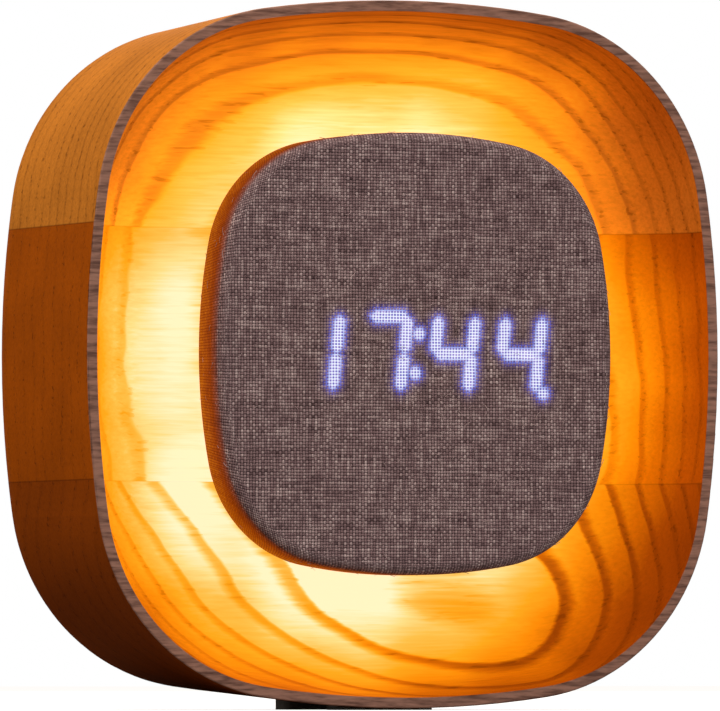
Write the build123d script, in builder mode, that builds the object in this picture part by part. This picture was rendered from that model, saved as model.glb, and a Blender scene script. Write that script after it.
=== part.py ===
from build123d import *
import os
from math import atan2, cos, degrees, hypot, pi, sin, sqrt, tan, radians

# Desk alarm clock. A wooden bowl with a squircle outline stands on edge. A thin linen-covered drum
# floats in its centre on a hollow stem. The front faces -Y, +X is to the right seen from the
# front, +Z is up, and the origin is on the table under the middle of the clock.

# ---- Wooden bowl -----------------------------------------------------------------------------
body_width = 130.0
body_height = 132.0
body_depth = 55.2
body_side_radius = 207.0  # the slow arcs of the four sides
body_corner_radius = 39.7
body_taper = 2.75  # degrees, narrower towards the back
back_edge_fillet = 13.5
rim_width = 2.0
rim_edge_fillet = 0.35
dish_depth = 20.0
dish_fillet = 19.0
floor_thickness = 5.0
glue_line_height = 23.7  # of the two glue lines, above and below the centre

# ---- Base pads -------------------------------------------------------------------------------
pad_proud = 0.3  # below the lowest point of the rim
pad_length = 20.0
pad_width = 6.0
pad_setbacks = (9.0, 32.0)  # from the rim plane to each pad's front edge
pad_corner = 1.5
pad_pocket_depth = 0.9

# ---- Drum ------------------------------------------------------------------------------------
drum_width = 81.2
drum_height = 82.4
drum_side_radius = 108.0
drum_corner_radius = 23.7
drum_thickness = 9.0
drum_proud = 4.8  # in front of the rim plane
drum_edge_fillet = 1.8
linen_thickness = 0.5
linen_hem = 5.0
shell_wall = 1.5
shell_front = 1.2
boss_radius = 2.6
back_plate_thickness = 1.6
back_plate_clearance = 0.2
drum_screw_inset = 10.0
pod_screw_radius = 0.9
pod_screw_head_radius = 1.7
screw_end_gap = 0.2
cable_hole_radius = 6.5

# ---- Display ---------------------------------------------------------------------------------
window_width = 56.0
window_height = 21.0
window_thickness = 0.3
window_lap = 1.5
module_width = 57.0
module_height = 19.0
display_gap = 0.3  # from the display's board to the back plate
digit_shift = 0.4  # the whole time, to the right of the drum's centre
digit_height = 15.2
digit_width = 9.2
digit_pitch = 13.9
digit_slant = 6.5  # degrees
segment_width = 1.6
segment_gap = 0.25
segment_depth = 0.4
dot_radius = 0.8
colon_spacing = 7.3
colon_shift = -0.5  # from the middle of the time
alarm_dot_rise = 0.45  # from the digits' feet to its centre
display_board_thickness = 0.8
display_board_margin = 2.0

# ---- Back light ------------------------------------------------------------------------------
light_inset = 6.5  # from the drum's outline to the diffuser
light_width = 7.5
diffuser_wall = 1.0
diffuser_height = 3.0
light_board_thickness = 1.0
led_count = 24
led_size = 2.0
led_thickness = 0.8

# ---- Stem ------------------------------------------------------------------------------------
stem_radius = 11.0
stem_bore_radius = 7.0
stem_flange_radius = 17.0
stem_flange_thickness = 2.5
stem_head_radius = 15.0
stem_head_thickness = 2.0
spigot_radius = 8.8
spigot_clearance = 0.2
stem_screw_circle = 12.8
stem_screw_count = 3

# ---- Rear pocket and cover -------------------------------------------------------------------
cover_inset = 17.5  # from the body's outline to the cover's edge
cover_clearance = 0.25
cover_thickness = 3.0
cover_recess = 0.4
pocket_ledge = 6.0
insert_radius = 2.1
insert_length = 6.0
cover_screw_radius = 1.25
cover_screw_head_radius = 2.5
cover_screw_length = 8.0

# ---- Boards ----------------------------------------------------------------------------------
standoff_length = 6.0
standoff_radius = 2.5
standoff_stud_radius = 1.2
standoff_stud_length = 3.5
main_board_width = 68.0
main_board_height = 54.0
board_thickness = 1.6
board_corner = 3.0
board_hole_inset = 4.0
board_screw_radius = 1.0
board_screw_head_radius = 2.0
board_screw_head_height = 1.4
board_screw_length = 3.0  # into a standoff
slot_reach = 2.2  # of every cross recess, times the screw's radius
slot_width = 0.5  # the same
sink_angle = 45.0  # of every countersunk head
ribbon_width = 7.0
ribbon_thickness = 0.8
socket_width = 9.0
socket_height = 3.0
display_socket_depth = 2.4
main_socket_depth = 3.4
chip_size = 12.0
chip_thickness = 1.2
chip_rise = 12.0  # above the clock's centre, like the capacitors
capacitor_radius = 3.15
capacitor_clearance = 3.65  # from its end to the control board
capacitor_spread = 24.0  # each, from the middle
control_board_width = 67.0
control_board_height = 30.0
control_board_thickness = 1.2
control_board_rise = 22.0  # its centre above the clock's centre
control_boss_length = 6.85
control_boss_root = 2.3  # of it is solid, the rest is bored for the screw
control_hole_inset = 3.5
header_width = 20.0
header_height = 2.5

# ---- Controls --------------------------------------------------------------------------------
button_names = ("set", "down", "up", "alarm", "light")
button_pitch = 12.0
button_row_rise = 30.0
button_radius = 3.3
button_clearance = 0.25
button_edge_fillet = 0.3
button_flange_radius = 4.2
button_flange_thickness = 0.8
button_stem_radius = 1.5
button_travel = 0.4
icon_depth = 0.3
icon_drop = 6.4  # from a button's centre to its icon
icon_size = 2.4
icon_line = 0.5
icon_disc_radius = 0.8
tact_size = 6.0
tact_height = 3.4
plunger_stand = 1.0  # out of its switch
plunger_radius = 1.65
plunger_length = 2.4
plunger_clearance = 0.1
lower_row_rise = 14.0
switch_offset = -20.0
switch_width = 8.5
switch_height = 3.6
switch_depth = 3.5
knob_width = 2.0
knob_height = 1.8
knob_clearance = 0.3
knob_travel = 2.0
finger_recess = 1.2  # the dish around the knob, deep
finger_margin = 1.0  # wider and taller than the switch
finger_corner = 1.5
usb_offset = 20.0
usb_width = 8.94
usb_height = 3.26
usb_wall = 0.35
usb_floor = 1.05
usb_length = 7.6
usb_clearance = 0.25
usb_recess_margin = 1.9
usb_recess_depth = 2.0
tongue_width = 6.7
tongue_thickness = 0.7
tongue_setback = 1.0  # from the socket's mouth
full_round_trim = 0.01  # keeps a sliver of flat between two full rounds
buzzer_radius = 6.0
buzzer_length = 5.8
buzzer_port_radius = 1.2
buzzer_port_depth = 2.0
sound_hole_radius = 0.6
sound_hole_pitch = 2.2
sound_hole_count = 6

# ---- Batteries -------------------------------------------------------------------------------
cell_count = 3
cell_radius = 5.25
cell_length = 43.3
cell_nub_radius = 1.9
cell_nub_length = 1.2
cell_gap = 0.2
cell_door_gap = 0.5
spring_space = 4.7
contact_size = 9.0
contact_thickness = 0.4
spring_wire_radius = 0.35
spring_coils = 3
spring_big_radius = 3.6
spring_cone_angle = -18.0
battery_wall = 1.2
battery_lift = 4.3  # from the pocket's lower wall to the battery box
door_thickness = 1.6
door_lap = 1.5
door_clearance = 0.2
door_corner = 1.0
door_tab_width = 8.0
door_tab_depth = 1.2
door_groove_count = 4
door_groove_pitch = 2.2
door_groove_depth = 0.5
door_groove_length = 8.8
door_groove_width = 1.1
door_groove_inset = 4.4  # their middle, from the door's upper edge

# ---- Places worked out from the sizes above --------------------------------------------------
centre_z = pad_proud + body_height / 2
rim_y = -(body_depth - drum_proud) / 2
back_y = rim_y + body_depth
dish_floor_y = rim_y + dish_depth
pocket_y = dish_floor_y + floor_thickness
cover_outer_y = back_y - cover_recess
cover_inner_y = cover_outer_y - cover_thickness
drum_front_y = rim_y - drum_proud
drum_back_y = drum_front_y + drum_thickness
shell_front_y = drum_front_y + linen_thickness
shell_back_y = drum_back_y - linen_thickness
shell_inner_y = shell_front_y + shell_front
plate_y = shell_back_y - back_plate_thickness
module_y = shell_inner_y + window_thickness
display_board_y = plate_y - display_gap - display_board_thickness
display_socket_y = display_board_y + display_board_thickness
ribbon_start_y = display_socket_y + display_socket_depth
main_board_y = pocket_y + standoff_length
main_socket_y = main_board_y - main_socket_depth
main_rear_y = main_board_y + board_thickness
control_rear_y = cover_inner_y - control_boss_length
control_board_y = control_rear_y - control_board_thickness
door_inner_y = cover_outer_y - door_thickness
cell_axis_y = door_inner_y - cell_radius - cell_door_gap
battery_floor_y = cell_axis_y - cell_radius - cell_gap
cell_pitch = 2 * cell_radius + cell_gap
battery_height = cell_count * cell_pitch + 2 * cell_gap
battery_length = cell_length + cell_nub_length + spring_space + 2 * contact_thickness
pocket_inset = cover_inset + pocket_ledge
box_height = battery_height + 2 * battery_wall
battery_drop = -body_height / 2 + pocket_inset + battery_lift + box_height / 2


def facing(y):
    """A plane that faces the front, at depth y, centred on the clock."""
    return Plane(origin=(0, y, centre_z), x_dir=(1, 0, 0), z_dir=(0, -1, 0))


def squircle(width, height, side_radius, corner_radius, inset=0.0):
    """A rounded square of eight tangent arcs. An inset keeps every arc's centre."""
    side_r = side_radius - inset
    corner_r = corner_radius - inset
    side_x = width / 2 - side_radius
    top_y = height / 2 - side_radius
    span = hypot(side_x, top_y)
    rise = sqrt((side_radius - corner_radius) ** 2 - (span / 2) ** 2)
    corner_x = side_x / 2 - top_y * rise / span
    corner_y = top_y / 2 - side_x * rise / span
    low = degrees(atan2(corner_y, corner_x - side_x))
    high = degrees(atan2(corner_y - top_y, corner_x))
    with BuildSketch(Plane.XY) as shape:
        with BuildLine():
            CenterArc((side_x, 0), side_r, -low, 2 * low)
            CenterArc((corner_x, corner_y), corner_r, low, high - low)
            CenterArc((0, top_y), side_r, high, 180 - 2 * high)
            CenterArc((-corner_x, corner_y), corner_r, 180 - high, high - low)
            CenterArc((-side_x, 0), side_r, 180 - low, 2 * low)
            CenterArc((-corner_x, -corner_y), corner_r, 180 + low, high - low)
            CenterArc((0, -top_y), side_r, 180 + high, 180 - 2 * high)
            CenterArc((corner_x, -corner_y), corner_r, -high, high - low)
        make_face()
    return shape.sketch


def corner_point(width, height, side_radius, corner_radius, inset):
    """The middle of the upper right corner arc of a squircle at an inset."""
    side_x = width / 2 - side_radius
    top_y = height / 2 - side_radius
    span = hypot(side_x, top_y)
    rise = sqrt((side_radius - corner_radius) ** 2 - (span / 2) ** 2)
    reach = (corner_radius - inset) * cos(pi / 4)
    corner_x = side_x / 2 - top_y * rise / span
    corner_y = top_y / 2 - side_x * rise / span
    return corner_x + reach, corner_y + reach


def body_outline(inset=0.0):
    return squircle(body_width, body_height, body_side_radius, body_corner_radius, inset)


def drum_outline(inset=0.0):
    return squircle(drum_width, drum_height, drum_side_radius, drum_corner_radius, inset)


def slab(outline, y_front, y_back):
    """An outline as a plate between two depths."""
    with BuildPart() as plate:
        with BuildSketch(facing(y_front)):
            add(outline)
        extrude(amount=y_front - y_back)
    return plate.part


def rounded_slab(outline, y_front, y_back, radius, axis_end):
    """A plate whose front (0) or back (-1) edge is rounded."""
    with BuildPart() as plate:
        with BuildSketch(facing(y_front)):
            add(outline)
        extrude(amount=y_front - y_back)
        fillet(plate.edges().group_by(Axis.Y)[axis_end], radius)
    return plate.part


def block(width, height, y_front, y_back, x=0.0, z=0.0, corner=0.0):
    """A rectangular plate, centred at x, z from the clock's centre."""
    with BuildPart() as plate:
        with BuildSketch(facing(y_front)):
            with Locations((x, z)):
                if corner:
                    RectangleRounded(width, height, corner)
                else:
                    Rectangle(width, height)
        extrude(amount=y_front - y_back)
    return plate.part


def rods(points, radius, y_front, y_back):
    """Round rods along the depth at points from the clock's centre."""
    with BuildPart() as group:
        with BuildSketch(facing(y_front)):
            with Locations(*points):
                Circle(radius)
        extrude(amount=y_front - y_back)
    return group.part


def four_corners(x, z, centre=0.0):
    return [(x, centre + z), (-x, centre + z), (-x, centre - z), (x, centre - z)]


def ring_points(count, radius, start=90.0):
    turns = [radians(start + 360 * k / count) for k in range(count)]
    return [(radius * cos(t), radius * sin(t)) for t in turns]


def save(builder, name):
    builder.part.label = name
    export_step(builder.part, f"parts/{name}.step")


os.makedirs("parts", exist_ok=True)

# ---- Wooden boards ---------------------------------------------------------------------------
dish = rounded_slab(body_outline(rim_width), rim_y, dish_floor_y, dish_fillet, -1)
pocket = slab(body_outline(pocket_inset), pocket_y, back_y)
cover_rebate = slab(body_outline(cover_inset - cover_clearance), cover_inner_y, back_y)
corner_x, corner_z = corner_point(
    body_width, body_height, body_side_radius, body_corner_radius, cover_inset + pocket_ledge / 2
)
side_x = body_width / 2 - cover_inset - pocket_ledge / 2
cover_screw_points = four_corners(corner_x, corner_z) + [(side_x, 0), (-side_x, 0)]
stem_screw_points = ring_points(stem_screw_count, stem_screw_circle)
standoff_points = four_corners(
    main_board_width / 2 - board_hole_inset, main_board_height / 2 - board_hole_inset
)


def pads():
    """The two silicone strips. The bowl rises towards the back, so the rear one is taller."""
    with BuildPart() as strips:
        for setback in pad_setbacks:
            rise = tan(radians(body_taper)) * (setback + pad_width)
            with BuildSketch(Plane.XY):
                with Locations((0, rim_y + setback + pad_width / 2)):
                    RectangleRounded(pad_length, pad_width, pad_corner)
            extrude(amount=pad_proud + rise + pad_pocket_depth)
    return strips.part


with BuildPart() as bowl:
    with BuildSketch(facing(rim_y)):
        add(body_outline())
    extrude(amount=-body_depth, taper=body_taper)
    fillet(bowl.edges().group_by(Axis.Y)[-1], back_edge_fillet)
    fillet(bowl.edges().group_by(Axis.Y)[0], rim_edge_fillet)
    add(dish, mode=Mode.SUBTRACT)
    add(pocket, mode=Mode.SUBTRACT)
    add(cover_rebate, mode=Mode.SUBTRACT)
    add(rods([(0, 0)], spigot_radius + spigot_clearance, dish_floor_y, pocket_y),
        mode=Mode.SUBTRACT)
    add(rods(stem_screw_points, board_screw_radius, dish_floor_y, pocket_y), mode=Mode.SUBTRACT)
    add(rods(cover_screw_points, insert_radius, cover_inner_y - insert_length, cover_inner_y),
        mode=Mode.SUBTRACT)
    add(rods(standoff_points, standoff_stud_radius, pocket_y - standoff_stud_length, pocket_y),
        mode=Mode.SUBTRACT)
    add(pads(), mode=Mode.SUBTRACT)

upper_glue_line = Plane.XY.offset(centre_z + glue_line_height)
lower_glue_line = Plane.XY.offset(centre_z - glue_line_height)

with BuildPart() as upper_board:
    add(bowl.part)
    split(bisect_by=upper_glue_line, keep=Keep.TOP)
save(upper_board, "upper_board")

with BuildPart() as middle_board:
    add(bowl.part)
    split(bisect_by=upper_glue_line, keep=Keep.BOTTOM)
    split(bisect_by=lower_glue_line, keep=Keep.TOP)
save(middle_board, "middle_board")

with BuildPart() as lower_board:
    add(bowl.part)
    split(bisect_by=lower_glue_line, keep=Keep.BOTTOM)
save(lower_board, "lower_board")

with BuildPart() as base_pads:
    add(pads())
save(base_pads, "base_pads")

# ---- Stem ------------------------------------------------------------------------------------
flange_y = dish_floor_y - stem_flange_thickness
with BuildPart() as pod_stem:
    add(rods([(0, 0)], stem_head_radius, shell_back_y, shell_back_y + stem_head_thickness))
    add(rods([(0, 0)], stem_radius, shell_back_y, dish_floor_y))
    add(rods([(0, 0)], stem_flange_radius, flange_y, dish_floor_y))
    add(rods([(0, 0)], spigot_radius, dish_floor_y, pocket_y))
    add(rods([(0, 0)], stem_bore_radius, shell_back_y, pocket_y), mode=Mode.SUBTRACT)
    add(rods(stem_screw_points, board_screw_radius, flange_y, dish_floor_y), mode=Mode.SUBTRACT)
    add(rods(stem_screw_points, pod_screw_radius, shell_back_y, shell_back_y + stem_head_thickness),
        mode=Mode.SUBTRACT)
save(pod_stem, "pod_stem")


def pan_screws(points, radius, head_radius, head_height, head_y, tip_y):
    """Pan head screws. The head stands from head_y away from the tip."""
    outward = head_height if head_y > tip_y else -head_height
    with BuildPart() as screws:
        add(rods(points, radius, min(tip_y, head_y), max(tip_y, head_y)))
        add(rods(points, head_radius, min(head_y, head_y + outward), max(head_y, head_y + outward)))
        with BuildSketch(facing(head_y + outward)):
            with Locations(*points):
                Rectangle(slot_reach * radius, slot_width * radius)
                Rectangle(slot_width * radius, slot_reach * radius)
        extrude(amount=outward / 2, mode=Mode.SUBTRACT)
    return screws


def sunk_screws(points, radius, head_radius, head_y, length):
    """Countersunk screws that run to the front from a head face at head_y."""
    with BuildPart() as screws:
        add(rods(points, radius, head_y - length, head_y))
        with BuildSketch(facing(head_y)):
            with Locations(*points):
                Circle(head_radius)
        extrude(amount=head_radius - radius, taper=sink_angle)
        with BuildSketch(facing(head_y)):
            with Locations(*points):
                Rectangle(slot_reach * radius, slot_width * radius)
                Rectangle(slot_width * radius, slot_reach * radius)
        extrude(amount=head_radius - radius, mode=Mode.SUBTRACT)
    return screws


def sunk_holes(points, radius, head_radius, head_y, depth):
    """The countersunk holes for sunk_screws."""
    with BuildPart() as holes:
        add(rods(points, radius, head_y - depth, head_y))
        with BuildSketch(facing(head_y)):
            with Locations(*points):
                Circle(head_radius)
        extrude(amount=head_radius - radius, taper=sink_angle)
    return holes.part


stem_screws = pan_screws(
    stem_screw_points, board_screw_radius, board_screw_head_radius, board_screw_head_height,
    pocket_y, flange_y,
)
save(stem_screws, "stem_screws")

# ---- Drum casing -----------------------------------------------------------------------------
shell_inset = linen_thickness
plate_inset = shell_inset + shell_wall + back_plate_clearance
drum_corner = corner_point(
    drum_width, drum_height, drum_side_radius, drum_corner_radius, drum_screw_inset
)
drum_screw_points = four_corners(*drum_corner)

with BuildPart() as pod_front_shell:
    add(rounded_slab(drum_outline(shell_inset), shell_front_y, shell_back_y,
                     drum_edge_fillet - linen_thickness, 0))
    add(slab(drum_outline(shell_inset + shell_wall), shell_inner_y, shell_back_y),
        mode=Mode.SUBTRACT)
    add(rods(drum_screw_points, boss_radius, shell_inner_y, plate_y))
    add(rods(drum_screw_points, pod_screw_radius, shell_inner_y, plate_y), mode=Mode.SUBTRACT)
    add(block(window_width, window_height, shell_front_y, shell_inner_y), mode=Mode.SUBTRACT)
save(pod_front_shell, "pod_front_shell")

with BuildPart() as linen_cover:
    add(rounded_slab(drum_outline(), drum_front_y, drum_back_y, drum_edge_fillet, 0))
    add(rounded_slab(drum_outline(shell_inset), shell_front_y, shell_back_y,
                     drum_edge_fillet - linen_thickness, 0), mode=Mode.SUBTRACT)
    add(slab(drum_outline(linen_hem), shell_back_y, drum_back_y), mode=Mode.SUBTRACT)
save(linen_cover, "linen_cover")

with BuildPart() as pod_back_plate:
    add(slab(drum_outline(plate_inset), plate_y, shell_back_y))
    add(rods([(0, 0)], cable_hole_radius, plate_y, shell_back_y), mode=Mode.SUBTRACT)
    add(sunk_holes(drum_screw_points, pod_screw_radius, pod_screw_head_radius, shell_back_y,
                   back_plate_thickness), mode=Mode.SUBTRACT)
    add(rods(stem_screw_points, pod_screw_radius, plate_y, shell_back_y), mode=Mode.SUBTRACT)
save(pod_back_plate, "pod_back_plate")

pod_screws = sunk_screws(
    drum_screw_points, pod_screw_radius, pod_screw_head_radius, shell_back_y,
    shell_back_y - shell_inner_y - screw_end_gap,
)
save(pod_screws, "pod_screws")

with BuildPart() as drum_mount_screws:
    add(rods(stem_screw_points, pod_screw_radius, plate_y, shell_back_y + stem_head_thickness))
save(drum_mount_screws, "drum_mount_screws")

# ---- Display ---------------------------------------------------------------------------------
with BuildPart() as display_window:
    add(block(window_width + 2 * window_lap, window_height + 2 * window_lap,
              shell_inner_y, module_y))
save(display_window, "display_window")

segment_length = (digit_height - segment_width) / 2
lean = tan(radians(digit_slant))
row_width = digit_width - segment_width
SEGMENTS = {
    "a": (0, segment_length, True),
    "b": (row_width / 2, segment_length / 2, False),
    "c": (row_width / 2, -segment_length / 2, False),
    "d": (0, -segment_length, True),
    "e": (-row_width / 2, -segment_length / 2, False),
    "f": (-row_width / 2, segment_length / 2, False),
    "g": (0, 0, True),
}
LIT = {"1": "bc", "7": "abc", "4": "fgbc"}
TIME = "1744"


def segment_outline(centre, across, digit_x):
    """The six corners of one slanted segment, from the display's centre."""
    half = (row_width if across else segment_length) / 2 - segment_gap
    point = segment_width / 2
    ends = [(-half, 0), (-half + point, point), (half - point, point),
            (half, 0), (half - point, -point), (-half + point, -point)]
    if not across:
        ends = [(-v, u) for u, v in ends]
    corners = [(centre[0] + u, centre[1] + v) for u, v in ends]
    return [(digit_x + digit_shift + u + v * lean, v) for u, v in corners]


def segments(lit):
    """All lit or all unlit segments of the four digits."""
    with BuildPart() as group:
        with BuildSketch(facing(module_y)):
            for place, digit in enumerate(TIME):
                digit_x = (place - (len(TIME) - 1) / 2) * digit_pitch
                for name, (u, v, across) in SEGMENTS.items():
                    if (name in LIT[digit]) == lit:
                        with BuildLine():
                            Polyline(*segment_outline((u, v), across, digit_x), close=True)
                        make_face()
        extrude(amount=-segment_depth)
    return group


def dot_points():
    """The colon, and the alarm dot at the lower right of the last digit."""
    rises = (colon_spacing / 2, -colon_spacing / 2)
    middle = digit_shift + colon_shift
    colon = [(middle + rise * lean, rise) for rise in rises]
    end_x = digit_shift + (len(TIME) - 1) / 2 * digit_pitch + digit_width / 2 + dot_radius
    foot = alarm_dot_rise - digit_height / 2
    return colon + [(end_x + foot * lean, foot)]


lit_segments = segments(True)
unlit_segments = segments(False)
with BuildPart() as display_dots:
    add(rods(dot_points(), dot_radius, module_y, module_y + segment_depth))

with BuildPart() as display_module:
    add(block(module_width, module_height, module_y, display_board_y))
    add(lit_segments.part, mode=Mode.SUBTRACT)
    add(unlit_segments.part, mode=Mode.SUBTRACT)
    add(display_dots.part, mode=Mode.SUBTRACT)
save(display_module, "display_module")
save(lit_segments, "lit_segments")
save(unlit_segments, "unlit_segments")
save(display_dots, "display_dots")

with BuildPart() as display_board:
    add(block(module_width + display_board_margin, module_height + display_board_margin,
              display_board_y, display_socket_y))
save(display_board, "display_board")

# ---- Back light ------------------------------------------------------------------------------
board_inset = light_inset + diffuser_wall
board_end_inset = light_inset + light_width - diffuser_wall
light_top_y = shell_back_y + light_board_thickness

with BuildPart() as light_ring_board:
    add(slab(drum_outline(board_inset), shell_back_y, light_top_y))
    add(slab(drum_outline(board_end_inset), shell_back_y, light_top_y), mode=Mode.SUBTRACT)
save(light_ring_board, "light_ring_board")

# A path along the middle of the ring, with the LEDs evenly spaced on it.
led_path = drum_outline((board_inset + board_end_inset) / 2).wire()
led_points = [led_path.position_at(k / led_count) for k in range(led_count)]
with BuildPart() as light_leds:
    with BuildSketch(facing(light_top_y)):
        with Locations(*[(p.X, p.Y) for p in led_points]):
            Rectangle(led_size, led_size)
    extrude(amount=-led_thickness)
save(light_leds, "light_leds")

diffuser_back_y = shell_back_y + diffuser_height
with BuildPart() as light_diffuser:
    add(slab(drum_outline(light_inset), shell_back_y, diffuser_back_y))
    add(slab(drum_outline(light_inset + light_width), shell_back_y, diffuser_back_y),
        mode=Mode.SUBTRACT)
    with BuildSketch(facing(shell_back_y)):
        add(drum_outline(board_inset))
        add(drum_outline(board_end_inset), mode=Mode.SUBTRACT)
    extrude(amount=diffuser_wall - diffuser_height, mode=Mode.SUBTRACT)
save(light_diffuser, "light_diffuser")

# ---- Main board and what it carries ----------------------------------------------------------
with BuildPart() as board_standoffs:
    add(rods(standoff_points, standoff_radius, pocket_y, main_board_y))
    add(rods(standoff_points, standoff_stud_radius, pocket_y - standoff_stud_length, pocket_y))
    add(rods(standoff_points, board_screw_radius, main_board_y - board_screw_length,
             main_board_y), mode=Mode.SUBTRACT)
save(board_standoffs, "board_standoffs")

with BuildPart() as main_board:
    add(block(main_board_width, main_board_height, main_board_y, main_rear_y,
              corner=board_corner))
    add(rods(standoff_points, board_screw_radius, main_board_y, main_rear_y), mode=Mode.SUBTRACT)
save(main_board, "main_board")

board_screws = pan_screws(
    standoff_points, board_screw_radius, board_screw_head_radius, board_screw_head_height,
    main_rear_y, main_board_y - board_screw_length,
)
save(board_screws, "board_screws")

with BuildPart() as ribbon_sockets:
    add(block(socket_width, socket_height, display_socket_y, ribbon_start_y))
    add(block(socket_width, socket_height, main_socket_y, main_board_y))
save(ribbon_sockets, "ribbon_sockets")

with BuildPart() as ribbon_cable:
    add(block(ribbon_width, ribbon_thickness, ribbon_start_y, main_socket_y))
save(ribbon_cable, "ribbon_cable")

with BuildPart() as main_chip:
    add(block(chip_size, chip_size, main_rear_y, main_rear_y + chip_thickness, z=chip_rise))
save(main_chip, "main_chip")

capacitor_points = [(x, chip_rise) for x in (capacitor_spread, -capacitor_spread)]
with BuildPart() as capacitors:
    add(rods(capacitor_points, capacitor_radius, main_rear_y,
             control_board_y - capacitor_clearance))
save(capacitors, "capacitors")

with BuildPart() as board_header:
    add(block(header_width, header_height, main_rear_y, control_board_y, z=control_board_rise))
save(board_header, "board_header")

# ---- Control board ---------------------------------------------------------------------------
control_points = four_corners(
    control_board_width / 2 - control_hole_inset, control_board_height / 2 - control_hole_inset,
    control_board_rise,
)
with BuildPart() as control_board:
    add(block(control_board_width, control_board_height, control_board_y, control_rear_y,
              z=control_board_rise, corner=board_corner))
    add(rods(control_points, board_screw_radius, control_board_y, control_rear_y),
        mode=Mode.SUBTRACT)
save(control_board, "control_board")

control_screws = pan_screws(
    control_points, board_screw_radius, board_screw_head_radius, board_screw_head_height,
    control_board_y, cover_inner_y - control_boss_root,
)
save(control_screws, "control_screws")

button_points = {
    name: ((k - (len(button_names) - 1) / 2) * button_pitch, button_row_rise)
    for k, name in enumerate(button_names)
}
tact_y = control_rear_y + tact_height
plunger_back_y = tact_y + plunger_stand
plunger_front_y = plunger_back_y - plunger_length

with BuildPart() as tact_switches:
    with BuildSketch(facing(control_rear_y)):
        with Locations(*button_points.values()):
            Rectangle(tact_size, tact_size)
    extrude(amount=-tact_height)
    add(rods(list(button_points.values()), plunger_radius + plunger_clearance,
             plunger_front_y - button_travel - plunger_clearance, tact_y), mode=Mode.SUBTRACT)
save(tact_switches, "tact_switches")

for name, point in button_points.items():
    with BuildPart() as plunger:
        add(rods([point], plunger_radius, plunger_front_y, plunger_back_y))
    save(plunger, f"plunger_{name}")
    with BuildPart() as button:
        add(rods([point], button_radius, cover_inner_y, back_y))
        fillet(button.edges().group_by(Axis.Y)[-1], button_edge_fillet)
        add(rods([point], button_flange_radius, cover_inner_y - button_flange_thickness,
                 cover_inner_y))
        add(rods([point], button_stem_radius, plunger_back_y, cover_inner_y))
    save(button, f"button_{name}")

switch_y = control_rear_y + switch_depth
knob_y = control_rear_y + switch_depth / 2
with BuildPart() as slide_switch_body:
    add(block(switch_width, switch_height, control_rear_y, switch_y, switch_offset,
              lower_row_rise))
    add(block(knob_width + knob_travel + 2 * knob_clearance, knob_height + 2 * knob_clearance,
              knob_y - knob_clearance, switch_y, switch_offset, lower_row_rise),
        mode=Mode.SUBTRACT)
save(slide_switch_body, "slide_switch_body")

with BuildPart() as slide_switch_knob:
    add(block(knob_width, knob_height, knob_y, cover_outer_y,
              switch_offset - knob_travel / 2, lower_row_rise))
save(slide_switch_knob, "slide_switch_knob")

usb_back_y = control_rear_y + usb_length
with BuildPart() as usb_socket:
    add(block(usb_width, usb_height, control_rear_y, usb_back_y, usb_offset, lower_row_rise,
              usb_height / 2 - full_round_trim))
    add(block(usb_width - 2 * usb_wall, usb_height - 2 * usb_wall, control_rear_y + usb_floor,
              usb_back_y, usb_offset, lower_row_rise, 
              usb_height / 2 - usb_wall - full_round_trim),
        mode=Mode.SUBTRACT)
    add(block(tongue_width, tongue_thickness, control_rear_y + usb_wall, usb_back_y - tongue_setback,
              usb_offset, lower_row_rise))
save(usb_socket, "usb_socket")

buzzer_back_y = control_rear_y + buzzer_length
with BuildPart() as buzzer:
    add(rods([(0, lower_row_rise)], buzzer_radius, control_rear_y, buzzer_back_y))
    add(rods([(0, lower_row_rise)], buzzer_port_radius, buzzer_back_y - buzzer_port_depth,
             buzzer_back_y), mode=Mode.SUBTRACT)
save(buzzer, "buzzer")

# ---- Rear cover ------------------------------------------------------------------------------
door_width = battery_length + 2 * door_lap
door_height = battery_height + 2 * door_lap
box_width = battery_length + 2 * battery_wall
sound_points = [(0, lower_row_rise)] + [
    (x, lower_row_rise + z) for x, z in ring_points(sound_hole_count, sound_hole_pitch)
]


def icons():
    """Plain symbols under the buttons: ring, minus, plus, triangle and disc."""
    drop = button_row_rise - icon_drop
    places = [(point[0], drop) for point in button_points.values()]
    with BuildPart() as marks:
        with BuildSketch(facing(cover_outer_y)):
            with Locations(places[0]):
                Circle(icon_size / 2)
                Circle(icon_size / 2 - icon_line, mode=Mode.SUBTRACT)
            with Locations(places[1], places[2]):
                Rectangle(icon_size, icon_line)
            with Locations(places[2]):
                Rectangle(icon_line, icon_size)
            with Locations(places[3]):
                RegularPolygon(icon_size / 2, 3, rotation=90)
            with Locations(places[4]):
                Circle(icon_disc_radius)
        extrude(amount=icon_depth)
    return marks.part


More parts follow.
